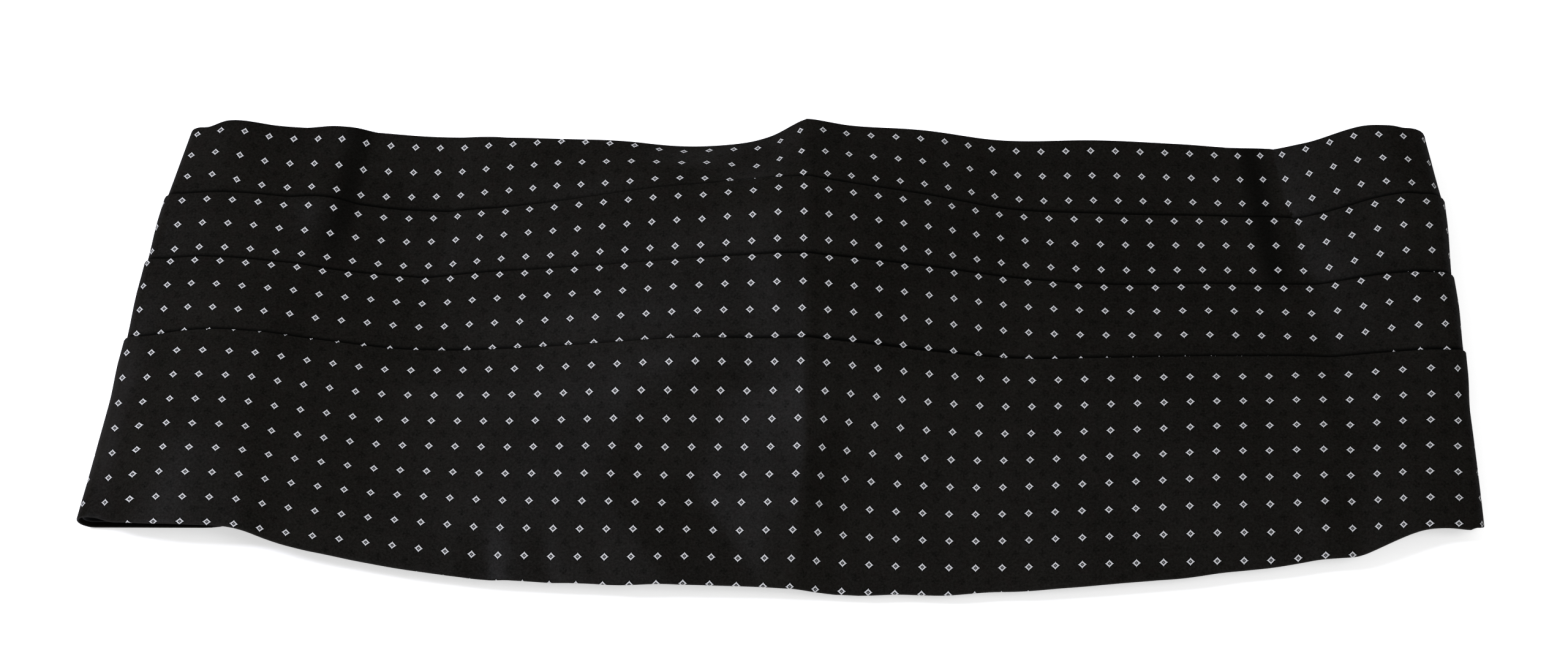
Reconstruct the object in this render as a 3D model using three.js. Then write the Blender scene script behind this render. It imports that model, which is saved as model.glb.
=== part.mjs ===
import * as THREE from 'three';

// A pleated cummerbund, closed into its loop and laid flat. Sizes are in millimetres.
// X runs along the loop, Y from the hem towards the top edge, Z is up, and the table is at zero.

// The laid loop
const laidLength = 404;
const endHeight = 12; // over the round folds at both ends
const ridgeHeight = 30; // over the storage fold across the front
const ridgePlace = 8; // how far the storage fold lies right of the middle

// Visible widths of the four folds of the front, from the hem up
const wideFold = 73;
const thirdFold = 25;
const secondFold = 25;
const topFold = 25;
const tuck = 8; // hidden margin of each fold under the one below it

// Cloth walls
const liningWall = 1;
const bandWall = 1;
const clothGap = 0.3;
const hollowGap = 0.6; // least room left inside the laid loop
const liningInset = 1.5; // how far the lining stops short of the hem and the top edge

// Where the seam over the wide fold lies, and how much higher it is at the left end
const seamPlace = -4;
const seamRise = 7;

// The wings that run back under the front, the straps and their clasp
const wingLength = 110;
const wingStraight = 33; // how far a wing runs straight before it tapers
const leftSkew = 3.6; // how far the hem runs up as it turns under the left end
const rightSkew = 5.5; // the same at the right end
const strapWidth = 40;
const strapPlace = 2;
const strapWall = 1.8;
const claspLength = 26;
const claspWidth = 44;
const claspWall = 3;
const claspCorner = 4;
const seatGap = 0.3;

// How finely the cloth is divided
const frontSteps = 44;
const foldSteps = 6;
const wingSteps = 6;
const cornerSteps = 4;

// Heights worked out from the walls
const bandSeat = liningWall + clothGap;
const foldSeat = bandSeat + bandWall + clothGap;
const stack = foldSeat + bandWall;
const lowestFront = 2 * stack + hollowGap;
const foldInside = (endHeight - 2 * stack) / 2;
const foldMiddle = endHeight / 2;
const hemReach = foldInside + bandSeat + bandWall;
const halfLength = laidLength / 2;
const clothDepth = wideFold + thirdFold + secondFold + topFold;

// Across the cloth, 0 is the hem, 1, 2 and 3 are the seams going up, and 4 is the top edge.
const lowFold = 0.45;
const hemEdge = 0;
const seamThree = 1;
const seamTwo = 2;
const seamOne = 3;
const topEdge = 4;

// Each end of the loop: its distance from the middle, as a share of half the laid length
const endRows = [
  { across: hemEdge, left: 1, right: 1 },
  { across: seamThree, left: 0.951, right: 0.99 },
  { across: seamTwo, left: 0.931, right: 0.98 },
  { across: seamOne, left: 0.909, right: 0.976 },
  { across: topEdge, left: 0.881, right: 0.957 },
];

// The edges of the folds in plan. rise is a share of seamRise, and every other column is the
// laid width of that fold as a share of its own width.
const planRows = [
  { at: -1, rise: 1, wide: 0.82, third: 1.04, second: 0.88, top: 0.92 },
  { at: -0.96, rise: 0.97, wide: 0.845, third: 1.04, second: 0.89, top: 1 },
  { at: -0.88, rise: 0.9, wide: 0.865, third: 1.02, second: 0.92, top: 1.02 },
  { at: -0.8, rise: 0.75, wide: 0.864, third: 1.01, second: 0.93, top: 1.03 },
  { at: -0.72, rise: 0.6, wide: 0.9, third: 1, second: 0.94, top: 1.03 },
  { at: -0.5, rise: 0.35, wide: 0.97, third: 1, second: 0.95, top: 0.98 },
  { at: -0.25, rise: 0.2, wide: 1, third: 1.02, second: 1.02, top: 0.74 },
  { at: -0.1, rise: 0.14, wide: 1, third: 1, second: 1.02, top: 0.78 },
  { at: 0, rise: 0.07, wide: 1, third: 0.98, second: 1.04, top: 0.9 },
  { at: 0.25, rise: 0, wide: 1, third: 1, second: 0.98, top: 0.98 },
  { at: 0.5, rise: 0.14, wide: 0.97, third: 0.96, second: 1, top: 1.02 },
  { at: 0.75, rise: 0.3, wide: 0.9, third: 0.96, second: 0.98, top: 0.92 },
  { at: 0.84, rise: 0.34, wide: 0.872, third: 0.95, second: 0.96, top: 0.95 },
  { at: 0.93, rise: 0.42, wide: 0.787, third: 0.96, second: 0.99, top: 1 },
  { at: 1, rise: 0.5, wide: 0.787, third: 0.98, second: 1.04, top: 0.92 },
];

// How high the front stands between its two ends, from 0, touching the wings, to 1, the crest of
// the storage fold. The row with a crease is that fold.
const heightRows = [
  { at: -0.88, hem: 0.42, low: 0.5, third: 0.36, second: 0.23, first: 0.14, top: 0.08 },
  { at: -0.74, hem: 0.34, low: 0.42, third: 0.31, second: 0.17, first: 0.08, top: 0.08 },
  { at: -0.6, hem: 0.2, low: 0.19, third: 0.14, second: 0.02, first: 0, top: 0 },
  { at: -0.45, hem: 0.14, low: 0.26, third: 0.28, second: 0.24, first: 0.19, top: 0.13 },
  { at: -0.31, hem: 0.18, low: 0.41, third: 0.49, second: 0.51, first: 0.45, top: 0.32 },
  { at: -0.17, hem: 0.22, low: 0.39, third: 0.72, second: 0.78, first: 0.69, top: 0.27 },
  { at: -0.06, hem: 0.22, low: 0.39, third: 0.71, second: 0.89, first: 0.86, top: 0.42 },
  { at: 0, hem: 0.2, low: 0.46, third: 0.81, second: 0.97, first: 1, top: 0.81, crease: true },
  { at: 0.07, hem: 0.02, low: 0.21, third: 0.71, second: 0.85, first: 0.84, top: 0.61 },
  { at: 0.19, hem: 0.02, low: 0.1, third: 0.48, second: 0.61, first: 0.62, top: 0.5 },
  { at: 0.33, hem: 0.06, low: 0.13, third: 0.23, second: 0.26, first: 0.21, top: 0.08 },
  { at: 0.48, hem: 0.11, low: 0.19, third: 0.19, second: 0.11, first: 0.12, top: 0.17 },
  { at: 0.62, hem: 0.1, low: 0.28, third: 0.17, second: 0.09, first: 0.03, top: 0.01 },
  { at: 0.75, hem: 0.11, low: 0.28, third: 0.14, second: 0.05, first: 0.01, top: 0.01 },
  { at: 0.92, hem: 0.26, low: 0.36, third: 0.26, second: 0.34, first: 0.43, top: 0.53 },
];

const planBounds = [hemEdge, seamThree, seamTwo, seamOne, topEdge];
const heightColumns = ['hem', 'low', 'third', 'second', 'first', 'top'];
const heightBounds = [hemEdge, lowFold, seamThree, seamTwo, seamOne, topEdge];

// The slope of a column at one row of a table. The curve runs level into both ends of the table,
// and a crease has a slope of its own on each side.
function slopeAt(rows, column, index, towards) {
  if (index === 0 || index === rows.length - 1) {
    return 0;
  }
  const low = rows[index].crease && towards > 0 ? index : index - 1;
  const high = rows[index].crease && towards < 0 ? index : index + 1;
  return (rows[high][column] - rows[low][column]) / (rows[high].at - rows[low].at);
}

// A column of a table read at any place along the front, on a smooth curve through its rows
function readAlong(rows, column, at) {
  let index = 0;
  while (index < rows.length - 2 && at > rows[index + 1].at) {
    index += 1;
  }
  const start = rows[index];
  const end = rows[index + 1];
  const span = end.at - start.at;
  const t = (at - start.at) / span;
  const startSlope = slopeAt(rows, column, index, 1) * span;
  const endSlope = slopeAt(rows, column, index + 1, -1) * span;
  const rest = 1 - t;
  const startPart = start[column] * (1 + 2 * t) * rest * rest + startSlope * t * rest * rest;
  const endPart = end[column] * (3 - 2 * t) * t * t - endSlope * rest * t * t;
  return startPart + endPart;
}

// A list of values read across the cloth, straight from one bound to the next
function readAcross(bounds, values, across) {
  let index = 0;
  while (index < bounds.length - 2 && across > bounds[index + 1]) {
    index += 1;
  }
  const t = (across - bounds[index]) / (bounds[index + 1] - bounds[index]);
  return THREE.MathUtils.lerp(values[index], values[index + 1], t);
}

// The height rows with the two ends of the loop added
function wholeHeightRows() {
  const endShare = (endHeight - lowestFront) / (ridgeHeight - lowestFront);
  const endRow = (at) => {
    const row = { at };
    heightColumns.forEach((column) => {
      row[column] = endShare;
    });
    return row;
  };
  return [endRow(-1), ...heightRows, endRow(1)];
}

const allHeightRows = wholeHeightRows();

// The outer height of the front
function frontHeight(at, across) {
  const shares = heightColumns.map((column) => readAlong(allHeightRows, column, at));
  const share = Math.max(0, readAcross(heightBounds, shares, across));
  return THREE.MathUtils.lerp(lowestFront, ridgeHeight, share);
}

// Where a line of the cloth lies between hem and top edge, in plan
function planPlace(at, across) {
  const seam = seamPlace + seamRise * readAlong(planRows, 'rise', at);
  const hem = seam - wideFold * readAlong(planRows, 'wide', at);
  const second = seam + thirdFold * readAlong(planRows, 'third', at);
  const first = second + secondFold * readAlong(planRows, 'second', at);
  const top = first + topFold * readAlong(planRows, 'top', at);
  return readAcross(planBounds, [hem, seam, second, first, top], across);
}

// The centre of the round fold at one end of the loop
function foldCentre(side, across) {
  const shares = endRows.map((row) => (side < 0 ? row.left : row.right));
  return side * (halfLength * readAcross(planBounds, shares, across) - hemReach);
}

// How far up the cloth a line lies, from 0 at the hem to 1 at the top edge
function clothShare(across) {
  const widths = [0, wideFold, wideFold + thirdFold, clothDepth - topFold, clothDepth];
  return readAcross(planBounds, widths, across) / clothDepth;
}

// The inner face of the cloth on the front, round an end fold and on a wing
function frontPoint(at, across) {
  const side = Math.sign(at);
  const reach = side === 0 ? 0 : foldCentre(side, across) - ridgePlace;
  return new THREE.Vector3(
    ridgePlace + Math.abs(at) * reach,
    planPlace(at, across),
    frontHeight(at, across) - stack,
  );
}

// How far a line of the cloth has run up once it lies under its end, more at the hem
function skewedBy(side, across) {
  return (side < 0 ? leftSkew : rightSkew) * (1 - clothShare(across));
}

function foldPoint(side, turn, across) {
  return new THREE.Vector3(
    foldCentre(side, across) + side * foldInside * Math.sin(turn),
    planPlace(side, across) + (skewedBy(side, across) * turn) / Math.PI,
    foldMiddle + foldInside * Math.cos(turn),
  );
}

function wingPoint(side, run, across) {
  const taper = THREE.MathUtils.smoothstep(run, wingStraight / wingLength, 1);
  const strapLine = strapPlace + strapWidth * (clothShare(across) - 0.5);
  const start = planPlace(side, across) + skewedBy(side, across);
  return new THREE.Vector3(
    THREE.MathUtils.lerp(foldCentre(side, across), side * (halfLength - wingLength), run),
    THREE.MathUtils.lerp(start, strapLine, taper),
    stack,
  );
}

// All sections of the loop in order: left wing, left fold, front, right fold, right wing.
// Each is a function that gives the inner face of the cloth at a line across it.
function loopSections() {
  const sections = [];
  for (let step = 0; step < wingSteps; step += 1) {
    sections.push((across) => wingPoint(-1, 1 - step / wingSteps, across));
  }
  for (let step = 0; step < foldSteps; step += 1) {
    sections.push((across) => foldPoint(-1, Math.PI * (1 - step / foldSteps), across));
  }
  for (let step = 0; step <= frontSteps; step += 1) {
    sections.push((across) => frontPoint((2 * step) / frontSteps - 1, across));
  }
  for (let step = 1; step <= foldSteps; step += 1) {
    sections.push((across) => foldPoint(1, (Math.PI * step) / foldSteps, across));
  }
  for (let step = 1; step <= wingSteps; step += 1) {
    sections.push((across) => wingPoint(1, step / wingSteps, across));
  }
  return sections;
}

const sections = loopSections();

// The outward direction of the cloth at one section and line
function outward(index, across) {
  const before = sections[Math.max(0, index - 1)](across);
  const after = sections[Math.min(sections.length - 1, index + 1)](across);
  const reach = 0.02;
  const below = sections[index](Math.max(hemEdge, across - reach));
  const above = sections[index](Math.min(topEdge, across + reach));
  return after.sub(before).cross(above.sub(below)).normalize();
}

// A wall of cloth that runs round the whole loop. Each line has its place across the cloth and
// the distances of the wall's two faces from the inside of the loop.
function clothWall(lines) {
  const positions = [];
  sections.forEach((section, index) => {
    const addPoint = (line, distance) => {
      const point = section(line.across).addScaledVector(outward(index, line.across), distance);
      positions.push(point.x, point.y, point.z);
    };
    lines.forEach((line) => addPoint(line, line.seat + line.wall));
    [...lines].reverse().forEach((line) => addPoint(line, line.seat));
  });

  const ring = 2 * lines.length;
  const last = (sections.length - 1) * ring;
  const indices = [];
  const addQuad = (a, b, c, d) => indices.push(a, b, c, a, c, d);
  for (let start = 0; start < last; start += ring) {
    for (let corner = 0; corner < ring; corner += 1) {
      const next = (corner + 1) % ring;
      const quad = [start + corner, start + ring + corner, start + ring + next, start + next];
      if (corner >= lines.length) {
        quad.push(quad.shift()); // both faces of the wall are split along the same diagonal
      }
      addQuad(...quad);
    }
  }
  for (let corner = 0; corner < lines.length - 1; corner += 1) {
    const across = ring - 1 - corner;
    addQuad(corner, corner + 1, across - 1, across);
    addQuad(last + across, last + across - 1, last + corner + 1, last + corner);
  }

  const geometry = new THREE.BufferGeometry();
  geometry.setAttribute('position', new THREE.Float32BufferAttribute(positions, 3));
  geometry.setIndex(indices);
  geometry.computeVertexNormals();
  return geometry;
}

// The line where the margin under a fold begins, given the seam and the width of the fold below
function tuckLine(seam, foldBelow) {
  return seam - tuck / foldBelow;
}

const thirdTuck = tuckLine(seamThree, wideFold);
const secondTuck = tuckLine(seamTwo, thirdFold);
const firstTuck = tuckLine(seamOne, secondFold);

const lowLine = (across) => ({ across, seat: bandSeat, wall: bandWall });
const highLine = (across) => ({ across, seat: foldSeat, wall: bandWall });

// The widest fold, from the hem up
function wideBand() {
  return clothWall([
    lowLine(hemEdge),
    lowLine(lowFold),
    highLine(thirdTuck),
    highLine(seamThree),
  ]);
}

function thirdBand() {
  return clothWall([
    lowLine(thirdTuck),
    lowLine(seamThree),
    highLine(secondTuck),
    highLine(seamTwo),
  ]);
}

function secondBand() {
  return clothWall([
    lowLine(secondTuck),
    lowLine(seamTwo),
    highLine(firstTuck),
    highLine(seamOne),
  ]);
}

function topBand() {
  return clothWall([lowLine(firstTuck), lowLine(seamOne), lowLine(topEdge)]);
}

// The plain cloth inside the loop
function lining() {
  const acrossLines = [
    liningInset / wideFold,
    lowFold,
    thirdTuck,
    seamThree,
    secondTuck,
    seamTwo,
    firstTuck,
    seamOne,
    topEdge - liningInset / topFold,
  ];
  return clothWall(acrossLines.map((across) => ({ across, seat: 0, wall: liningWall })));
}

// One of the two flat straps, from the end of its wing to the clasp
function strap(side) {
  const inner = claspLength / 2 + seatGap;
  const outer = halfLength - wingLength - seatGap;
  const geometry = new THREE.BoxGeometry(outer - inner, strapWidth, strapWall);
  geometry.translate((side * (inner + outer)) / 2, strapPlace, strapWall / 2);
  return geometry;
}

// The plain clasp plate between the straps
function clasp() {
  const x = claspLength / 2;
  const y = claspWidth / 2;
  const shape = new THREE.Shape();
  shape.moveTo(-x + claspCorner, -y);
  shape.lineTo(x - claspCorner, -y);
  shape.absarc(x - claspCorner, -y + claspCorner, claspCorner, -Math.PI / 2, 0);
  shape.lineTo(x, y - claspCorner);
  shape.absarc(x - claspCorner, y - claspCorner, claspCorner, 0, Math.PI / 2);
  shape.lineTo(-x + claspCorner, y);
  shape.absarc(-x + claspCorner, y - claspCorner, claspCorner, Math.PI / 2, Math.PI);
  shape.lineTo(-x, -y + claspCorner);
  shape.absarc(-x + claspCorner, -y + claspCorner, claspCorner, Math.PI, 1.5 * Math.PI);
  const geometry = new THREE.ExtrudeGeometry(shape, {
    depth: claspWall,
    bevelEnabled: false,
    curveSegments: cornerSteps,
  });
  geometry.translate(0, strapPlace, 0);
  return geometry;
}

const faceCloth = { color: 0x161514, roughness: 0.55, metalness: 0 };
const liningCloth = { color: 0x0d0d0e, roughness: 0.7, metalness: 0 };
const strapCloth = { color: 0x121213, roughness: 0.8, metalness: 0 };
const claspPlastic = { color: 0x0b0b0c, roughness: 0.4, metalness: 0 };

const cummerbund = new THREE.Group();

function addPiece(name, geometry, finish) {
  const piece = new THREE.Mesh(geometry, new THREE.MeshStandardMaterial(finish));
  piece.name = name;
  cummerbund.add(piece);
}

addPiece('band_wide', wideBand(), faceCloth);
addPiece('band_third', thirdBand(), faceCloth);
addPiece('band_second', secondBand(), faceCloth);
addPiece('band_top', topBand(), faceCloth);
addPiece('lining', lining(), liningCloth);
addPiece('strap_left', strap(-1), strapCloth);
addPiece('strap_right', strap(1), strapCloth);
addPiece('clasp', clasp(), claspPlastic);

export default cummerbund;
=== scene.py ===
import math
import bpy
from mathutils import Matrix, Vector, noise


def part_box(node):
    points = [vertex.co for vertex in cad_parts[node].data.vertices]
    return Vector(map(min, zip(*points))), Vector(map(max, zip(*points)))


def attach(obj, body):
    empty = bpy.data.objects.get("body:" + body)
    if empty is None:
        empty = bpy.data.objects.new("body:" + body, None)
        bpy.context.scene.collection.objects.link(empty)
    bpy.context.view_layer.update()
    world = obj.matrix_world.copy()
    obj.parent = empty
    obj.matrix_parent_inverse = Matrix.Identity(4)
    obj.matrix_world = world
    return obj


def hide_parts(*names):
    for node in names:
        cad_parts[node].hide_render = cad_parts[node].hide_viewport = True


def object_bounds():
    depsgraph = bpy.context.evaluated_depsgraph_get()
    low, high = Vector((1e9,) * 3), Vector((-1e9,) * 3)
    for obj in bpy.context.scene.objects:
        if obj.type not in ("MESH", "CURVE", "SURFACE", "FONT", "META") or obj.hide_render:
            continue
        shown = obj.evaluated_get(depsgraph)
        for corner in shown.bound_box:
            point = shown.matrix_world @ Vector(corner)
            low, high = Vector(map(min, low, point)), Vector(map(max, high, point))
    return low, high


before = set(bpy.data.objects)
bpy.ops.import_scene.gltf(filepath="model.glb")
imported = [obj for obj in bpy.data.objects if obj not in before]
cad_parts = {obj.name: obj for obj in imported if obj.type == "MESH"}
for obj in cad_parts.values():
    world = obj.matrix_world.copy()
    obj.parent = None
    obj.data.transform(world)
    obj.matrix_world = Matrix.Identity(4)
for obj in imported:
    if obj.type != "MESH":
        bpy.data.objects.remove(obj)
cadBox = [list(corner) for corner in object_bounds()]
mm = 0.001

# What a user would change about the view. The camera looks down on the hem side.
view = {
    "lens": 97.2,  # millimetres, as is the sensor
    "sensor": 36,
    "fromAbove": 28.0,  # degrees from straight down
    "distance": 1250.4 * mm,
    "turn": 0.2,  # degrees
    "target": (0.9 * mm, 9.6 * mm, 0),
}


def addCamera():
    tilt = math.radians(view["fromAbove"])
    data = bpy.data.cameras.new("camera")
    data.lens = view["lens"]
    data.sensor_width = view["sensor"]
    camera = bpy.data.objects.new("camera", data)
    bpy.context.scene.collection.objects.link(camera)
    turned = Matrix.Rotation(math.radians(view["turn"]), 4, "Z")
    back = turned @ Vector((0, -math.sin(tilt), math.cos(tilt)))
    place = Matrix.Translation(Vector(view["target"]) + view["distance"] * back)
    camera.matrix_world = place @ turned @ Matrix.Rotation(tilt, 4, "X")
    bpy.context.scene.camera = camera
    print("camera placed")


addCamera()

# The laid loop. Lengths are in metres, and the shares in the tables are of these.
lie = {
    "halfLength": (cadBox[1][0] - cadBox[0][0]) / 2,
    "endHeight": 12 * mm,
    "rightLift": 4.2 * mm,  # how much higher the fold stands towards the top edge on the right
    "ridgeHeight": cadBox[1][2],
    "ridgePlace": 8 * mm,
    "lowestFront": 7.8 * mm,
    "wideFold": 73 * mm,
    "upperFold": 25 * mm,
    "tuck": 8 * mm,
    "seamPlace": -4 * mm,
    "seamRise": 7 * mm,
    "wingLength": 110 * mm,
    "wingStraight": 33 * mm,
    "leftSkew": 1 * mm,  # how far the hem runs up as it turns under
    "rightSkew": 5.5 * mm,
    "strapWidth": 40 * mm,
    "strapPlace": 2 * mm,
    "stack": 3.6 * mm,  # lining and two layers of folds, with their gaps
    "hemOuter": 2.3 * mm,  # from the inside of the loop to the outer face of the hem
    "ridgeBow": 4.5 * mm,  # how far the crease bends to the left near the hem
    "bowWidth": 45,  # the width of cloth that bends, in millimetres
}

# How finely the cloth is divided: sections along it, steps across it in millimetres, and the steps
# beside a fold that lies over it
grid = {
    "front": 368,
    "fold": 12,
    "wing": 44,
    "across": 1.6,
    "hidden": 3.2,
    "edgeStep": 0.5,
    "seamSteps": (-0.3, 0.1, 0.5, 1, 1.5),
    "rounding": 5,
}

# Across the cloth 0 is the hem, 1, 2 and 3 are the seams going up, and 4 is the top edge.
seams = [0, 1, 2, 3, 4]
heightLines = [0, 0.45, 1, 2, 3, 4]
clothLines = [0, 73, 98, 123, 148]  # the same lines as widths of cloth, in millimetres

# Each end of the loop: its distance from the middle, as a share of half the laid length
leftEnd = [1, 0.951, 0.931, 0.909, 0.881]
rightEnd = [1, 0.99, 0.98, 0.976, 0.957]

# Edges of the folds in plan: place, rise of the seams, laid width of the wide, third, second and
# top fold as a share of its own width
planRows = [
    (-1, 1, 0.8, 1.04, 0.88, 0.94),
    (-0.96, 0.97, 0.832, 1.04, 0.89, 1.03),
    (-0.88, 0.9, 0.856, 1.02, 0.92, 1.01),
    (-0.8, 0.75, 0.852, 1.01, 0.93, 1.03),
    (-0.72, 0.6, 0.898, 1, 0.94, 1.03),
    (-0.5, 0.35, 0.972, 1.06, 0.89, 1.02),
    (-0.25, 0.2, 1, 1.02, 1.02, 0.74),
    (-0.1, 0.14, 1, 1.012, 1.008, 0.78),
    (0, 0.07, 1, 1.02, 1, 0.9),
    (0.25, 0, 1, 1.045, 0.935, 0.98),
    (0.5, 0.14, 0.97, 1, 0.96, 1.02),
    (0.75, 0.3, 0.9, 1, 0.94, 0.965),
    (0.84, 0.34, 0.872, 0.985, 0.925, 0.97),
    (0.93, 0.42, 0.787, 1, 1.01, 0.985),
    (1, 0.5, 0.787, 0.98, 1.04, 0.92),
]

# How high the front stands: place, then the share at the hem, the middle of the wide fold, the
# three seams and the top edge. The storage fold is a crease at place 0.
heightRows = [
    (-0.88, 0.42, 0.5, 0.36, 0.23, 0.14, 0.08),
    (-0.74, 0.34, 0.42, 0.31, 0.17, 0.08, 0.08),
    (-0.6, 0.2, 0.22, 0.14, 0.02, 0, 0),
    (-0.45, 0.13, 0.27, 0.28, 0.24, 0.19, 0.13),
    (-0.31, 0.15, 0.37, 0.5, 0.52, 0.46, 0.32),
    (-0.17, 0.22, 0.39, 0.72, 0.78, 0.69, 0.27),
    (-0.06, 0.22, 0.39, 0.71, 0.89, 0.86, 0.42),
    (0, 0.2, 0.46, 0.81, 0.97, 1, 0.81),
    (0.07, 0.02, 0.21, 0.71, 0.85, 0.84, 0.61),
    (0.19, 0.02, 0.1, 0.48, 0.61, 0.62, 0.5),
    (0.33, 0.06, 0.13, 0.23, 0.28, 0.25, 0.19),
    (0.48, 0.11, 0.19, 0.19, 0.12, 0.13, 0.16),
    (0.62, 0.1, 0.28, 0.17, 0.1, 0.05, 0.07),
    (0.75, 0.11, 0.26, 0.14, 0.05, 0.01, 0.01),
    (0.89, 0.23, 0.27, 0.21, 0.24, 0.27, 0.3),
    (0.97, 0.23, 0.25, 0.26, 0.35, 0.41, 0.42),
]

# Finer dents in the laid cloth, each along a path of places from the middle and widths of cloth
# from the hem. The rise and the reach to its left and right are in millimetres too.
dents = [
    {"path": ((-190, 0), (-168, 148)), "rise": 1.4, "left": 15, "right": 30},
    {
        "path": ((-154, 0), (-156, 33), (-153, 60), (-145, 89), (-135, 123)),
        "rise": 1.5, "left": 42, "right": 18, "sharp": 2,
    },
    {"path": ((-136, 123), (-131, 148)), "rise": 2, "left": 10, "right": 8},
    {"path": ((-102, 84), (-103, 130)), "rise": -0.7, "left": 18, "right": 10, "sharp": 2},
    {"path": ((-90, 124), (-88, 148)), "rise": 0.4, "left": 6, "right": 4},
    {"path": ((-79, 4), (-68, 27), (-49, 46), (-30, 66)), "rise": 0.4, "left": 34, "right": 18},
    {
        "path": ((-7, 3), (-15, 15), (-24, 28), (-21, 42), (-16, 56)),
        "rise": -2.6, "left": 24, "right": 28, "sharp": 1,
    },
    {"path": ((-5, 3), (-3, 56), (-2, 80), (-2, 116)), "rise": 1.3, "left": 18, "right": 11, "sharp": 1.1},
    {"path": ((-84, 0), (-83, 8)), "rise": -0.4, "left": 7, "right": 5},
    {"path": ((-76, 0), (-77, 8)), "rise": 0.5, "left": 5, "right": 9},
    {"path": ((-58, 0), (-60, 8)), "rise": 0.3, "left": 6, "right": 7},
    {"path": ((158, 0), (157, 14)), "rise": 0.6, "left": 6, "right": 5},
    {
        "path": ((167, 0), (165.5, 44), (158.5, 82), (158, 99), (149, 117)),
        "rise": -1.4, "left": 14, "right": 18, "sharp": 2,
    },
    {"path": ((146, 119), (142, 148)), "rise": -1.7, "left": 8, "right": 12},
]
dentFade = 14  # beyond the ends of a path
dentRound = 2.5  # how blunt the middle of a dent is
endFade = 14  # dents fade out over the last fourteenth of the way to each end

# Rounder swellings: place and width of cloth of the middle, reach along and across, and rise
bulges = [
    {"middle": (-45, 134), "reach": (44, 15), "rise": 1.5},
    {"middle": (-9, 132), "reach": (14, 13), "rise": -1.5},
]

# Small unevenness of the cloth: heights, and waves to a metre
uneven = {
    "hem": 0.4 * mm,
    "hemWaves": 75,
    "hemWidth": 12,  # millimetres of cloth
    "broad": 0.35 * mm,
    "broadWaves": 28,
    "fine": 0.12 * mm,
    "fineWaves": 75,
    "fullHeight": 8 * mm,  # above the table, where the cloth wrinkles most
}


def slopeAt(rows, column, index, towards):  # a crease has a slope of its own on each side
    if index in (0, len(rows) - 1):
        return 0
    creased = rows[index][0] == 0 and rows is heightRows
    low = rows[index if creased and towards > 0 else index - 1]
    high = rows[index if creased and towards < 0 else index + 1]
    return (high[column] - low[column]) / (high[0] - low[0])


def hermite(t, start, end, startSlope, endSlope):
    rest = 1 - t
    low = start * (1 + 2 * t) * rest * rest + startSlope * t * rest * rest
    return low + end * (3 - 2 * t) * t * t - endSlope * rest * t * t


def smooth(value):
    value = min(1, max(0, value))
    return value * value * (3 - 2 * value)


def readAlong(rows, column, at):
    index = 0
    while index < len(rows) - 2 and at > rows[index + 1][0]:
        index += 1
    start, end = rows[index], rows[index + 1]
    span = end[0] - start[0]
    startSlope = slopeAt(rows, column, index, 1) * span
    endSlope = slopeAt(rows, column, index + 1, -1) * span
    return hermite((at - start[0]) / span, start[column], end[column], startSlope, endSlope)


def readAcross(bounds, values, across):
    index = 0
    while index < len(bounds) - 2 and across > bounds[index + 1]:
        index += 1
    t = (across - bounds[index]) / (bounds[index + 1] - bounds[index])
    return values[index] + (values[index + 1] - values[index]) * t


def widthOf(across):
    return readAcross(seams, clothLines, across)


def lineAt(width):  # the line across the cloth at a width from the hem, in millimetres
    return readAcross(clothLines, seams, width)


def liftAt(side, across):  # how much higher than the hem the fold at one end stands
    return lie["rightLift"] * smooth((widthOf(across) - 50) / 70) if side > 0 else 0


def endShares(side):
    heights = [lie["endHeight"] + liftAt(side, line) - lie["lowestFront"] for line in heightLines]
    return [height / (lie["ridgeHeight"] - lie["lowestFront"]) for height in heights]


heightRows = [(-1, *endShares(-1)), *heightRows, (1, *endShares(1))]


def softAcross(values):  # the same on a smooth curve over the width of the cloth
    widths = [widthOf(line) for line in heightLines]
    steps = [(values[i + 1] - values[i]) / (widths[i + 1] - widths[i]) for i in range(5)]
    slopes = [steps[0]] + [(steps[i] + steps[i + 1]) / 2 for i in range(4)] + [steps[4]]

    def read(across):
        width = widthOf(across)
        index = 0
        while index < 4 and width > widths[index + 1]:
            index += 1
        span = widths[index + 1] - widths[index]
        t = (width - widths[index]) / span
        ends = values[index], values[index + 1]
        return hermite(t, *ends, slopes[index] * span, slopes[index + 1] * span)

    return read


def planEdges(at):
    seam = lie["seamPlace"] + lie["seamRise"] * readAlong(planRows, 1, at)
    second = seam + lie["upperFold"] * readAlong(planRows, 3, at)
    first = second + lie["upperFold"] * readAlong(planRows, 4, at)
    top = first + lie["upperFold"] * readAlong(planRows, 5, at)
    return [seam - lie["wideFold"] * readAlong(planRows, 2, at), seam, second, first, top]


def dentAt(dent, place, width):
    path = dent["path"]
    on = min(max(width, path[0][1]), path[-1][1])
    middle = readAcross([step[1] for step in path], [step[0] for step in path], on)
    apart = math.hypot(place - middle, dentRound) - dentRound
    near = 1 - apart / (dent["left"] if place < middle else dent["right"])
    fade = smooth(1 - abs(width - on) / dentFade)
    if near <= 0 or fade == 0:
        return 0
    return dent["rise"] * fade * (near ** dent["sharp"] if "sharp" in dent else smooth(near))


def bulgeAt(bulge, place, width):
    along = (place - bulge["middle"][0]) / bulge["reach"][0]
    across = (width - bulge["middle"][1]) / bulge["reach"][1]
    return bulge["rise"] * smooth(1 - math.hypot(along, across))


def allDents(place, width):  # in metres, for a place in metres and a width in millimetres
    dented = sum(dentAt(dent, place / mm, width) for dent in dents)
    return (dented + sum(bulgeAt(bulge, place / mm, width) for bulge in bulges)) * mm


foldRadius = (lie["endHeight"] - 2 * lie["stack"]) / 2
foldMiddle = lie["endHeight"] / 2
hemReach = foldRadius + lie["hemOuter"]


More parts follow.
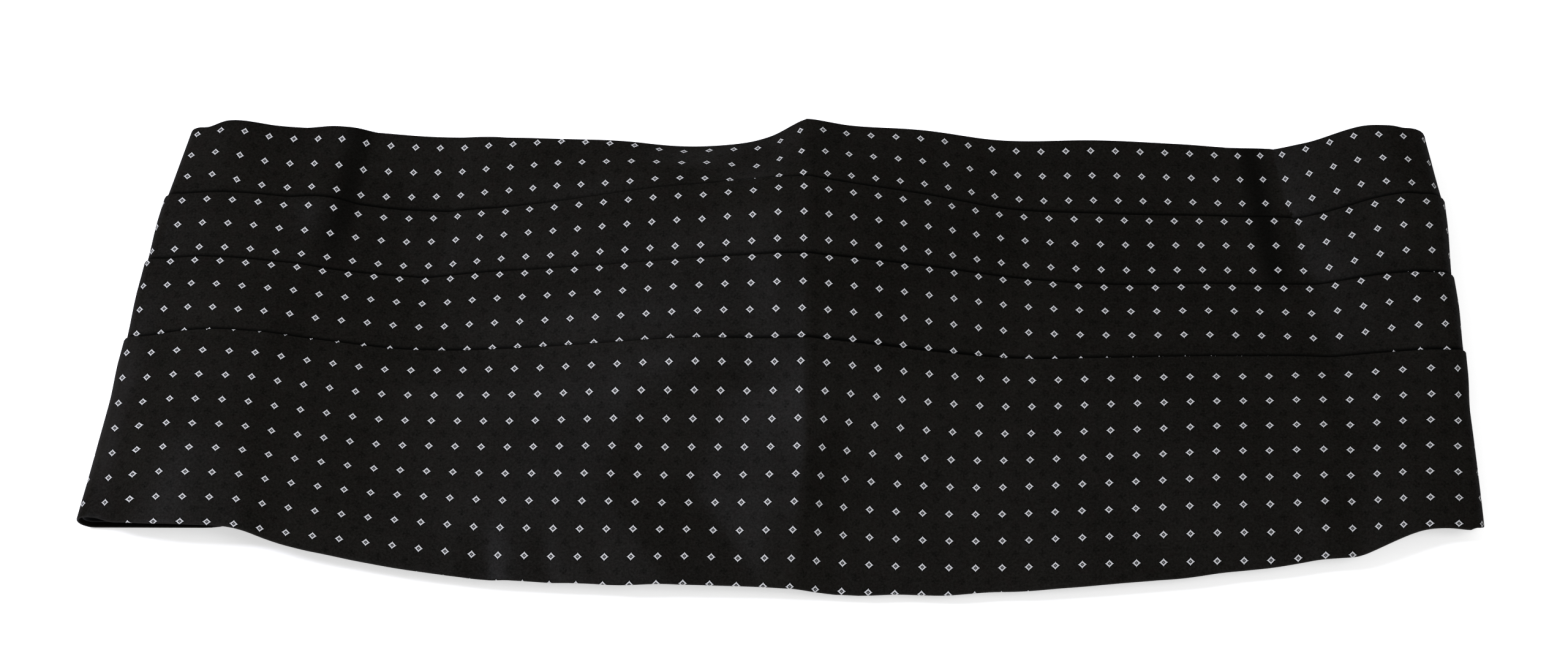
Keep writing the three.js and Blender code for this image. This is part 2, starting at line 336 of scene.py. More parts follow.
def foldCentre(side, across):
    share = readAcross(seams, leftEnd if side < 0 else rightEnd, across)
    return side * (lie["halfLength"] * share - hemReach - liftAt(side, across) / 2)


def ridgeBow(across):  # the crease bends to the left near the hem
    return lie["ridgeBow"] * smooth(1 - widthOf(across) / lie["bowWidth"])


def hemWave(x, across):  # the hem isn't quite straight
    wave = noise.noise(Vector((x * uneven["hemWaves"], 2, 5)))
    return uneven["hem"] * wave * smooth(1 - widthOf(across) / uneven["hemWidth"])


def frontSection(at):  # the inner face of the cloth across the front at one place
    edges = planEdges(at)
    height = softAcross([readAlong(heightRows, column, at) for column in range(1, 7)])
    side = -1 if at < 0 else 1
    fade = smooth((1 - abs(at)) * endFade)

    def point(across):
        ridge = lie["ridgePlace"] - ridgeBow(across)
        x = ridge + abs(at) * (foldCentre(side, across) - ridge)
        rise = max(0, height(across)) * (lie["ridgeHeight"] - lie["lowestFront"])
        rise += allDents(x, widthOf(across)) * fade
        z = lie["lowestFront"] - lie["stack"] + max(0, rise)
        y = readAcross(seams, edges, across) + hemWave(x, across) * fade
        return Vector((x, y, z))

    return point


def shareOf(across):  # 0 at the hem and 1 at the top edge
    return widthOf(across) / clothLines[-1]


def skewedBy(side, across):
    return (lie["leftSkew"] if side < 0 else lie["rightSkew"]) * (1 - shareOf(across))


def foldSection(side, turn):  # round the fold at one end of the loop
    edges = planEdges(side)

    def point(across):
        lift = liftAt(side, across) / 2
        radius = foldRadius + lift
        x = foldCentre(side, across) + side * radius * math.sin(turn)
        y = readAcross(seams, edges, across) + skewedBy(side, across) * turn / math.pi
        return Vector((x, y, foldMiddle + lift + radius * math.cos(turn)))

    return point


def wingSection(side, run):  # along the wing that runs back under the front
    edges = planEdges(side)
    straight = lie["wingStraight"] / lie["wingLength"]
    taper = smooth((run - straight) / (1 - straight))

    def point(across):
        start = foldCentre(side, across)
        x = start + (side * (lie["halfLength"] - lie["wingLength"]) - start) * run
        strapLine = lie["strapPlace"] + lie["strapWidth"] * (shareOf(across) - 0.5)
        edge = readAcross(seams, edges, across) + skewedBy(side, across)
        return Vector((x, edge + (strapLine - edge) * taper, lie["stack"]))

    return point


def loopSections():
    sections = [wingSection(-1, 1 - i / grid["wing"]) for i in range(grid["wing"])]
    turns = [math.pi * i / grid["fold"] for i in range(grid["fold"] + 1)]
    sections += [foldSection(-1, turn) for turn in reversed(turns[1:])]
    sections += [frontSection(2 * i / grid["front"] - 1) for i in range(grid["front"] + 1)]
    sections += [foldSection(1, turn) for turn in turns[1:]]
    return sections + [wingSection(1, (i + 1) / grid["wing"]) for i in range(grid["wing"])]


sections = loopSections()
firstOfFront = grid["wing"] + grid["fold"]
places = [min(1, max(-1, 2 * (i - firstOfFront) / grid["front"] - 1)) for i in range(len(sections))]
creaseIndex = firstOfFront + grid["front"] // 2

# The woven pattern. One unit of the map is one diamond: columns run along the cloth and rows down
# it. Each line across the cloth has its column at the crease and its own stretch.
pattern = {
    "columnPitch": 7.6 * mm,
    "rowPitch": 8.37 * mm,
    "creaseColumn": [26.7, 26.32, 26.24, 26.26, 26.42],
    "stretch": [1.003, 1, 0.997, 0.988, 0.976],
}

# The four folds: lines where each starts and ends, the row of the pattern at its upper edge, and
# how far its upper part lies from the inside of the loop, in millimetres
bands = {
    "band_wide": {"low": 0, "high": 1, "firstRow": -0.88, "above": 2.0},
    "band_third": {"low": 1, "high": 2, "firstRow": -0.05, "above": 2.0},
    "band_second": {"low": 2, "high": 3, "firstRow": -0.36, "above": 2.0},
    "band_top": {"low": 3, "high": 4, "firstRow": -0.48, "above": 1.3},
}

# Also in millimetres: how far its lower part lies from the inside, its wall, its gap to the cloth
# beneath, and the width of cloth over which it climbs
layers = {"below": 1.3, "wall": 0.7, "gap": 0.3, "ramp": 18}

# The silk doesn't lie quite straight in the folds: place along the front, then how far the pattern
# has crept from the upper edge of a fold to its lower edge, in columns along it and in rows down it
columnCreep = {
    "band_wide": (
        (-1, 0.18, 0.37, 0.2), (-0.965, 0.14, 0.38, 0.28), (-0.93, 0.06, 0.1, 0.08),
        (-0.87, -0.03, 0, 0.06), (-0.6, 0.03, 0.015, 0), (0, -0.04, -0.02, 0.04),
        (0.4, -0.06, -0.02, 0.08), (0.7, -0.13, -0.11, -0.06), (0.85, -0.2, -0.25, -0.2),
        (0.93, -0.28, -0.275, -0.27), (1, -0.42, -0.44, -0.46),
    ),
    "band_third": (
        (-0.9, 0.06, -0.08), (-0.42, 0.04, -0.02), (0.05, -0.02, -0.02), (0.38, 0.03, 0.05),
        (0.8, 0, 0.02), (0.93, -0.03, 0), (1, -0.18, -0.05),
    ),
    "band_second": (
        (-0.95, 0.06, -0.04), (-0.65, -0.08, -0.04), (-0.45, 0.06, 0.07), (0, -0.04, 0),
        (0.5, -0.08, 0.09), (0.8, -0.06, 0.15), (1, -0.24, 0.1),
    ),
    "band_top": (
        (-0.95, -0.05, 0), (-0.65, -0.04, -0.12), (-0.42, 0.03, -0.02), (-0.25, -0.05, -0.04),
        (0, -0.07, -0.05), (0.3, -0.12, 0.06), (0.6, -0.17, 0.11), (0.7, -0.2, 0.1), (0.8, 0.04, 0.27),
        (1, 0.04, 0.24),
    ),
}
rowCreep = {
    "band_wide": (
        (-1, 0.17, 0.22, 0.34), (-0.95, 0.04, 0.17, 0.33), (-0.88, -0.1, -0.05, 0.3),
        (-0.8, -0.07, 0.01, 0.42), (-0.65, -0.09, 0.03, 0.4), (-0.52, 0.02, 0.09, 0.2),
        (-0.45, 0.03, 0.04, 0.05), (-0.2, -0.04, -0.06, -0.08), (0, 0, 0, 0), (0.4, 0, 0.04, 0.05),
        (0.7, -0.03, 0.02, 0.02), (0.86, 0.09, 0.14, 0.25), (1, 0.12, 0.16, 0.2),
    ),
    "band_third": (
        (-1, -0.14, 0), (-0.85, -0.18, -0.16), (-0.68, -0.1, -0.04), (-0.54, -0.14, -0.1),
        (-0.39, -0.14, -0.05), (-0.25, -0.14, 0), (0, -0.08, 0.02), (0.25, -0.12, -0.04),
        (0.6, -0.13, -0.04), (0.8, -0.18, -0.16), (0.93, -0.12, -0.02), (1, -0.03, 0.09),
    ),
    "band_second": (
        (-0.95, 0.02, 0.03), (-0.84, -0.05, -0.02), (-0.68, -0.1, 0.04), (-0.54, 0.1, 0.2),
        (-0.45, 0.12, 0.2), (-0.24, -0.1, -0.22), (-0.08, -0.3, -0.36), (0, -0.12, -0.14),
        (0.15, -0.04, 0.04), (0.22, 0.02, 0.1), (0.6, 0.08, 0.1), (0.7, 0.1, 0.11), (0.8, 0.18, 0.2),
        (0.9, 0.1, 0.15), (1, 0, 0.12),
    ),
    "band_top": (
        (-1, 0.1, 0.42), (-0.96, 0.02, 0.16), (-0.9, -0.04, -0.2), (-0.75, -0.05, -0.28),
        (-0.55, 0, 0.02), (-0.4, 0.34, 0.36), (-0.28, 0.22, 0.46), (-0.24, 0.04, 0.5),
        (-0.2, -0.02, 0.38), (-0.14, 0.15, 0.06), (-0.09, -0.07, -0.24), (-0.06, -0.18, -0.25),
        (0, 0, -0.1), (0.22, 0.06, 0.04), (0.38, 0, -0.1), (0.54, 0.02, 0), (0.7, 0.08, 0.11),
        (0.8, 0.16, 0.19), (0.86, 0.19, 0.27), (0.92, 0.1, 0.2), (0.97, 0, 0.09), (1, 0.08, 0.14),
    ),
}


def creepAt(table, at, share):  # the share is 0 at the lower edge of the fold and 1 at the upper
    stations = [row[0] for row in table]
    on = min(max(at, stations[0]), stations[-1])
    down = [readAcross(stations, column, on) for column in list(zip(*table))[1:]]
    steps = [i / (len(down) - 1) for i in range(len(down))]
    return readAcross(steps, down, 1 - min(1, max(0, share)))


def wrinkle(point):  # small unevenness that all layers share
    broad = noise.noise(point * uneven["broadWaves"]) * uneven["broad"]
    fine = noise.noise(point * uneven["fineWaves"] + Vector((3, 7, 1))) * uneven["fine"]
    return (broad + fine) * min(1, point.z / uneven["fullHeight"])


def faceGrid(lines, inset):  # points, normals and upward directions of the cloth at each section
    rows = [[section(line) for line in lines] for section in sections]
    normals, ups = [], []
    last = len(rows) - 1
    for i, row in enumerate(rows):
        before, after = rows[max(0, i - 1)], rows[min(last, i + 1)]
        up = [(row[min(k + 1, len(row) - 1)] - row[max(k - 1, 0)]).normalized() for k in range(len(row))]
        normals.append([(after[k] - before[k]).cross(up[k]).normalized() for k in range(len(row))])
        ups.append(up)
    for row, up in zip(rows, ups):
        row[0] = row[0] + up[0] * inset
        row[-1] = row[-1] - up[-1] * inset
    return rows, normals, ups


paintedSheen = {  # a painted highlight at the left end, standing in for the fold's sheen, with widths of cloth in millimetres
    "reach": 9,
    "low": 4,
    "lowFade": 20,
    "high": 92,
    "highFade": 40,
    "most": 0.65,
}


def paintedSheenAt(point, line):  # 1 where a painted highlight lightens the silk as it turns under on the left
    start = -lie["halfLength"] * readAcross(seams, leftEnd, line)
    near = smooth(1 - (point.x - start) / mm / paintedSheen["reach"])
    fromLow = smooth((widthOf(line) - paintedSheen["low"]) / paintedSheen["lowFade"])
    toHigh = smooth((paintedSheen["high"] - widthOf(line)) / paintedSheen["highFade"])
    return paintedSheen["most"] * near * fromLow * toHigh


# Deep hollows, where hardly any light comes: place and width of cloth at both ends, in millimetres
hollows = [
    {"path": ((147, 96), (140, 148)), "reach": 7, "most": 0.5},
    {"path": ((-134, 104), (-127, 148)), "reach": 6, "most": 0.35},
]
hollowFade = 8  # on both sides of the lower end


def hollowAt(place, width):  # 1 in the middle of a deep hollow
    shade = 0
    for hollow in hollows:
        (low, start), (high, end) = hollow["path"]
        middle = low + (high - low) * (width - start) / (end - start)
        across = smooth(1 - abs(place - middle) / hollow["reach"])
        fade = smooth((width - start + hollowFade) / (2 * hollowFade))
        shade = max(shade, hollow["most"] * across * fade)
    return shade


# The shadow beside a fold that lies over the cloth, weaker where the key light falls into the seams
seamShadow = {"reach": 1.5, "litPlace": -45, "litReach": 50, "litShare": 0.6}


def seamShade(place, width, covered):  # 1 beside the fold, 0 a little away from it
    if not covered:
        return 0
    lit = smooth(1 - abs(place - seamShadow["litPlace"]) / seamShadow["litReach"]) * seamShadow["litShare"]
    return (1 - lit) * smooth(1 - abs(width - clothLines[covered]) / seamShadow["reach"])


roundTurns = [math.pi * (i + 1) / (grid["rounding"] + 1) for i in range(grid["rounding"])]


def roundEdge(point, normal, up, reach):  # the rounded edge of a wall, the lower one if reach is negative
    middle = point + normal * abs(reach)
    return [middle + (up * math.sin(turn) + normal * math.cos(turn)) * reach for turn in roundTurns]


def wallRings(lines, seats, wall, covered):
    # Each section of the wall as a ring of points: the outer face, the upper edge, the inner face
    # and the lower edge. The painted marks are negative where shade is painted and positive where a
    # highlight is painted.
    rings, outerRows, paintedMarks = [], [], []
    for row, normal, up in zip(*faceGrid(lines, wall / 2)):
        face = [p + n * (seat + wrinkle(p)) for p, n, seat in zip(row, normal, seats)]
        outer = [p + n * wall for p, n in zip(face, normal)]
        upper = roundEdge(face[-1], normal[-1], up[-1], wall / 2)
        lower = roundEdge(face[0], normal[0], up[0], -wall / 2)
        rings.append([*outer, *upper, *reversed(face), *lower])
        outerRows.append(outer)
        # painted highlight at the left end, less the painted shadow beside a covering fold or the painted
        # shade of a hollow
        for p, line in zip(row, lines):
            place, width = p.x / mm, widthOf(line)
            paintedMarks.append(paintedSheenAt(p, line) - max(seamShade(place, width, covered), hollowAt(place, width)))
        # painted shade over the upper edge, nothing on the inner face, and a painted highlight along the
        # lower edge
        paintedMarks += [-math.sin(turn) for turn in roundTurns]
        paintedMarks += [0] * len(lines)
        paintedMarks += [math.sin(turn) for turn in roundTurns]
    return rings, outerRows, paintedMarks


def columnsFrom(outerRows, lines):  # lengths along each line from the crease, in columns
    pitches = [pattern["columnPitch"] * readAcross(seams, pattern["stretch"], line) for line in lines]
    starts = [readAcross(seams, pattern["creaseColumn"], line) for line in lines]
    columns = [[0.0] * len(lines) for _ in outerRows]
    columns[creaseIndex] = [
        start - ridgeBow(line) / pattern["columnPitch"] for start, line in zip(starts, lines)
    ]
    for step, end in ((1, len(outerRows)), (-1, -1)):
        for i in range(creaseIndex + step, end, step):
            for k, pitch in enumerate(pitches):
                length = (outerRows[i][k] - outerRows[i - step][k]).length
                columns[i][k] = columns[i - step][k] + step * length / pitch
    return columns


def wallMaps(outerRows, lines, wall, fold):
    # The map of each ring, with rows down from the upper edge and back up behind it
    columns = columnsFrom(outerRows, lines)
    firstRow = bands[fold]["firstRow"] if fold else 0
    bottom = widthOf(bands[fold]["low"] if fold else 0)
    shares = [(widthOf(line) - bottom) / (widthOf(lines[-1]) - bottom) for line in lines]
    bend = math.pi * wall / 2 / pattern["rowPitch"]
    last = len(lines) - 1
    corners = [*range(last + 1), *[last] * len(roundTurns)]
    corners += [*range(last, -1, -1), *[0] * len(roundTurns)]
    maps = []
    for i, row in enumerate(outerRows):
        down = [0.0] * len(lines)
        for k in range(last - 1, -1, -1):
            down[k] = down[k + 1] + (row[k] - row[k + 1]).length / pattern["rowPitch"]
        outer = [firstRow + bend / 2 + length for length in down]
        upper = [firstRow + bend * (0.5 - turn / math.pi) for turn in roundTurns]
        inner = [firstRow - bend / 2 - length for length in reversed(down)]
        lower = [outer[0] + bend * (1 - turn / math.pi) for turn in roundTurns]
        along = [creepAt(columnCreep[fold], places[i], share) if fold else 0 for share in shares]
        across = [creepAt(rowCreep[fold], places[i], share) if fold else 0 for share in shares]
        ring = outer + upper + inner + lower
        maps.append([(columns[i][c] + along[c], v + across[c]) for c, v in zip(corners, ring)])
    return maps


def wallFaces(maps, lineCount, wall):  # the faces between the rings, and the map of each
    around = len(maps[0])
    underneath = lineCount * 2 + len(roundTurns) - 1
    hidden = wall / pattern["rowPitch"]
    faces, mapFaces = [], []
    for i in range(len(maps) - 1):
        low, high = i * around, (i + 1) * around
        for c in range(around):
            n = (c + 1) % around
            faces.append((low + c, high + c, high + n, low + n))
            face = [maps[i][c], maps[i + 1][c], maps[i + 1][n], maps[i][n]]
            if c == underneath:  # the map of the hidden face starts anew
                face[0] = (face[3][0], face[3][1] + hidden)
                face[1] = (face[2][0], face[2][1] + hidden)
            mapFaces.append(face)
    for start, flip in ((0, False), ((len(maps) - 1) * around, True)):
        cap = [start + c for c in range(around)]
        cap = cap[::-1] if flip else cap
        faces.append(tuple(cap))
        mapFaces.append([maps[c // around][c % around] for c in cap])
    return faces, mapFaces


def clothWall(name, lines, seats, wall, fold=None):
    # A closed wall round the whole loop with rounded edges. The seats are its distances from the
    # inside of the loop, and the map carries the pattern over the upper edge.
    rings, outerRows, paintedMarks = wallRings(lines, seats, wall, bands[fold]["low"] if fold else 0)
    faces, mapFaces = wallFaces(wallMaps(outerRows, lines, wall, fold), len(lines), wall)
    mesh = bpy.data.meshes.new(name)
    mesh.from_pydata([point for ring in rings for point in ring], [], faces)
    layer = mesh.uv_layers.new(name="weave")
    layer.data.foreach_set("uv", [value for face in mapFaces for uv in face for value in uv])
    # the painted light and shade of each point, which the silk's colour reads
    attribute = mesh.attributes.new("paintedLightShade", "FLOAT", "POINT")
    attribute.data.foreach_set("value", paintedMarks)
    piece = bpy.data.objects.new(name, mesh)
    bpy.context.scene.collection.objects.link(piece)
    mesh.shade_smooth()
    mesh.update()
    return piece


def linesBetween(low, high, spacing):  # evenly spaced lines, from one width of cloth to another
    count = max(2, round((high - low) / spacing))
    return [lineAt(low + (high - low) * i / count) for i in range(count + 1)]


def makeBand(name, band):
    low = widthOf(band["low"]) - (lie["tuck"] / mm if band["low"] else 0)
    high = widthOf(band["high"])
    lines = linesBetween(low, high - 2 * grid["edgeStep"], grid["across"])
    lines += [lineAt(high - grid["edgeStep"]), band["high"]]
    if band["low"]:
        lines = sorted(lines + [lineAt(clothLines[band["low"]] + step) for step in grid["seamSteps"]])
    rampEnd = high - lie["tuck"] / mm
    rampStart = rampEnd - layers["ramp"]
    seats = []
    for line in lines:
        share = smooth((widthOf(line) - rampStart) / (rampEnd - rampStart))
        depth = layers["below"] + (band["above"] - layers["below"]) * share
        seats.append((depth + layers["gap"]) * mm)
    piece = clothWall(name + "_cloth", lines, seats, layers["wall"] * mm, name)
    print(name, "made,", len(piece.data.polygons), "faces")
    return piece


lining = {"edge": 1.5, "seat": 0.4, "wall": 0.6}  # millimetres


def makeLining():
    lines = linesBetween(lining["edge"], clothLines[-1] - lining["edge"], grid["hidden"])
    return clothWall("lining_cloth", lines, [lining["seat"] * mm] * len(lines), lining["wall"] * mm)


bandPieces = {name: makeBand(name, band) for name, band in bands.items()}
liningPiece = makeLining()
print("lining made")

# Shader helpers


def feed(tree, socket, value):  # links another node's output, or sets a plain value
    if isinstance(value, bpy.types.NodeSocket):
        tree.links.new(value, socket)
    else:
        socket.default_value = value


def addNode(tree, kind, inputs=None, **settings):
    node = tree.nodes.new(kind)
    for name, value in settings.items():
        setattr(node, name, value)
    for name, value in (inputs or {}).items():
        feed(tree, node.inputs[name], value)
    return node


def calc(tree, operation, *values):
    node = addNode(tree, "ShaderNodeMath", operation=operation)
    for socket, value in zip(node.inputs, values):
        feed(tree, socket, value)
    return node.outputs[0]


def newGroup(name, inputs, outputs):
    group = bpy.data.node_groups.new(name, "ShaderNodeTree")
    for label, kind, value in inputs:
        socket = group.interface.new_socket(name=label, in_out="INPUT", socket_type=kind)
        if value is not None:
            socket.default_value = value
    for label in outputs:
        group.interface.new_socket(name=label, in_out="OUTPUT", socket_type="NodeSocketFloat")
    return group, group.nodes.new("NodeGroupInput"), group.nodes.new("NodeGroupOutput")


def placeGroup(tree, group, inputs):
    return addNode(tree, "ShaderNodeGroup", inputs, node_tree=group)


# The neat: sizes of one woven diamond, in millimetres of cloth
neat = {
    "thread": 0.07,
    "outer": 1.08,
    "inner": 0.56,
    "reach": 1.21,  # of the four pointed tips
    "tipLength": 2,  # times their width
    "heart": 0.26,
    "heartLight": 0.3,  # of the thread's brightness
    "halo": 1.6,
    "pinwheel": 1.3,
    "pinwheelEdge": 2.5,  # how sharply its rim ends
    "blades": 4,
    "twist": 2.2,
    "bladeDepth": 0.45,
}


def makeNeatGroup():
    # Masks of the light diamond, the dark threads round it and the dark pinwheel between four
    socketList = [("Vector", "NodeSocketVector", None)]
    group, start, end = newGroup("wovenNeat", socketList, ["Diamond", "Halo", "Pinwheel"])
    parts = addNode(group, "ShaderNodeSeparateXYZ", {"Vector": start.outputs["Vector"]})

    def local(socket, shift, pitch):  # distance from the nearest centre, on whole threads
        share = calc(group, "FRACT", calc(group, "ADD", socket, 0.5 + shift))
        distance = calc(group, "MULTIPLY", calc(group, "SUBTRACT", share, 0.5), pitch / mm)
        return calc(group, "SNAP", calc(group, "ADD", distance, neat["thread"] / 2), neat["thread"])

    x = local(parts.outputs["X"], 0, pattern["columnPitch"])
    y = local(parts.outputs["Y"], 0, pattern["rowPitch"])
    left, up = calc(group, "ABSOLUTE", x), calc(group, "ABSOLUTE", y)
    spread = calc(group, "ADD", left, up)
    hollow = calc(group, "GREATER_THAN", spread, neat["inner"])
    ring = calc(group, "MULTIPLY", calc(group, "LESS_THAN", spread, neat["outer"]), hollow)
    wide = calc(group, "MULTIPLY_ADD", up, neat["tipLength"], left)
    tall = calc(group, "MULTIPLY_ADD", left, neat["tipLength"], up)
    tips = calc(group, "LESS_THAN", calc(group, "MINIMUM", wide, tall), neat["reach"])
    tips = calc(group, "MULTIPLY", tips, hollow)
    heart = calc(group, "MULTIPLY", calc(group, "LESS_THAN", spread, neat["heart"]), neat["heartLight"])
    diamond = calc(group, "MAXIMUM", calc(group, "MAXIMUM", ring, tips), heart)
    group.links.new(diamond, end.inputs["Diamond"])
    halo = calc(group, "SUBTRACT", calc(group, "LESS_THAN", spread, neat["halo"]), diamond)
    group.links.new(halo, end.inputs["Halo"])

    # Four small blades round each middle point between the diamonds
    x = local(parts.outputs["X"], 0.5, pattern["columnPitch"])
    y = local(parts.outputs["Y"], 0.5, pattern["rowPitch"])
    square = calc(group, "ADD", calc(group, "POWER", x, 2), calc(group, "POWER", y, 2))
    radius = calc(group, "SQRT", square)
    turns = calc(group, "MULTIPLY", calc(group, "ARCTAN2", y, x), neat["blades"])
    swirl = calc(group, "ADD", turns, calc(group, "MULTIPLY", radius, neat["twist"]))
    depth = neat["bladeDepth"]
    blades = calc(group, "MULTIPLY_ADD", calc(group, "SINE", swirl), depth, 1 - depth)
    near = calc(group, "MULTIPLY_ADD", radius, -1 / neat["pinwheel"], 1)
    near = calc(group, "MULTIPLY", calc(group, "MAXIMUM", near, 0), neat["pinwheelEdge"])
    near = calc(group, "MINIMUM", near, 1)
    group.links.new(calc(group, "MULTIPLY", blades, near), end.inputs["Pinwheel"])
    return group


# The rib of the weave, and what is uneven in it: scales of the noise to a metre, and the lint
ribbing = {"slope": 1.6, "wander": 0.25, "wanderScale": 3, "ribs": 20}
flaws = {
    "patchScale": 45,
    "speckScale": 1500,
    "tintScale": 420,
    "lintScale": 130,
    "lintFrom": 0.94,  # only the cells above this share hold a bit
    "lintSize": 0.022,
}


def makeTwillGroup():
    # Height of fine slanting ribs, in a slightly uneven weave
    socketList = [("Vector", "NodeSocketVector", None), ("Ribs", "NodeSocketFloat", ribbing["ribs"])]
    group, start, end = newGroup("twill", socketList, ["Height"])
    place = start.outputs["Vector"]
    parts = addNode(group, "ShaderNodeSeparateXYZ", {"Vector": place})
    noiseInputs = {"Vector": place, "Scale": ribbing["wanderScale"], "Detail": 2}
    wander = addNode(group, "ShaderNodeTexNoise", noiseInputs).outputs["Fac"]
    rise = calc(group, "MULTIPLY", parts.outputs["Y"], ribbing["slope"])
    slant = calc(group, "ADD", parts.outputs["X"], rise)
    slant = calc(group, "ADD", slant, calc(group, "MULTIPLY", wander, ribbing["wander"]))
    phase = calc(group, "MULTIPLY", calc(group, "MULTIPLY", slant, start.outputs["Ribs"]), 2 * math.pi)
    height = calc(group, "MULTIPLY_ADD", calc(group, "SINE", phase), 0.5, 0.5)
    group.links.new(height, end.inputs["Height"])
    return group


def makeMottleGroup():
    # Soft uneven patches, fine specks and a few bits of lint
    socketList = [("Vector", "NodeSocketVector", None)]
    group, start, end = newGroup("clothWear", socketList, ["Patches", "Specks", "Tint", "Lint"])
    place = start.outputs["Vector"]
    patchInputs = {"Vector": place, "Scale": flaws["patchScale"], "Detail": 3, "Roughness": 0.6}
    broad = addNode(group, "ShaderNodeTexNoise", patchInputs)
    group.links.new(broad.outputs["Fac"], end.inputs["Patches"])
    speckInputs = {"Vector": place, "Scale": flaws["speckScale"], "Detail": 3, "Roughness": 0.8}
    fine = addNode(group, "ShaderNodeTexNoise", speckInputs)
    group.links.new(fine.outputs["Fac"], end.inputs["Specks"])
    tint = addNode(group, "ShaderNodeTexNoise", {"Vector": place, "Scale": flaws["tintScale"], "Detail": 1})
    group.links.new(calc(group, "MULTIPLY_ADD", tint.outputs["Fac"], 4, -1.9), end.inputs["Tint"])
    bitInputs = {"Vector": place, "Scale": flaws["lintScale"]}
    bits = addNode(group, "ShaderNodeTexVoronoi", bitInputs, feature="F1")
    chosen = addNode(group, "ShaderNodeSeparateColor", {"Color": bits.outputs["Color"]})
    few = calc(group, "GREATER_THAN", chosen.outputs[0], flaws["lintFrom"])
    small = calc(group, "LESS_THAN", bits.outputs["Distance"], flaws["lintSize"])
    group.links.new(calc(group, "MULTIPLY", few, small), end.inputs["Lint"])
    return group


neatGroup = makeNeatGroup()
twillGroup = makeTwillGroup()
mottleGroup = makeMottleGroup()

silk = {
    "ground": (0.0021, 0.0019, 0.0014),
    # the dark threads and pinwheels of the weave, and also painted shade at the seams, hollows and upper
    # edges
    "shade": (0.0014, 0.0014, 0.0011),
    # deeper painted shade at the seams, hollows and upper edges
    "paintedDeepShade": (0.0004, 0.0004, 0.0003),
    "patch": (0.009, 0.0083, 0.0069),
    "blush": (0.0052, 0.0026, 0.0025),
    "thread": (0.34, 0.34, 0.335),
    "lint": (0.06, 0.06, 0.056),
    # painted highlight at the left end and along the lower edges
    "paintedRim": (0.02, 0.019, 0.018),
    "ribs": 19,
    "speckle": (1.5, -0.4),  # how strongly the specks lighten the ground, and from where
    "patches": (0.6, -0.4),
    "blushMost": 0.15,
    "bladeFade": 1.2,
    # how strongly the painted shade, the deeper painted shade and the painted highlight show
    "edgeShade": 1.2,
    "edgeDeepShade": 0.8,
    "edgeHighlight": 0.4,
    "roughness": 0.7,
    "roughSpread": 0.16,
    "gloss": 0.05,
    "glossSpecks": (1.6, 0.2),
    "glossShade": 0.6,
    "glossRoughness": 0.46,
    "threadRise": 0.9,
    "bump": 0.35,
    "bumpDepth": 0.05 * mm,
}


def mixColours(tree, factor, first, second):
    node = addNode(tree, "ShaderNodeMix", {0: factor}, data_type="RGBA")
    for index, colour in ((6, first), (7, second)):
        plain = not isinstance(colour, bpy.types.NodeSocket)
        feed(tree, node.inputs[index], (*colour, 1) if plain else colour)
    return node.outputs[2]


def newMaterial(name):
    material = bpy.data.materials.new(name)
    material.use_nodes = True
    tree = material.node_tree
    return material, tree, tree.nodes["Principled BSDF"]


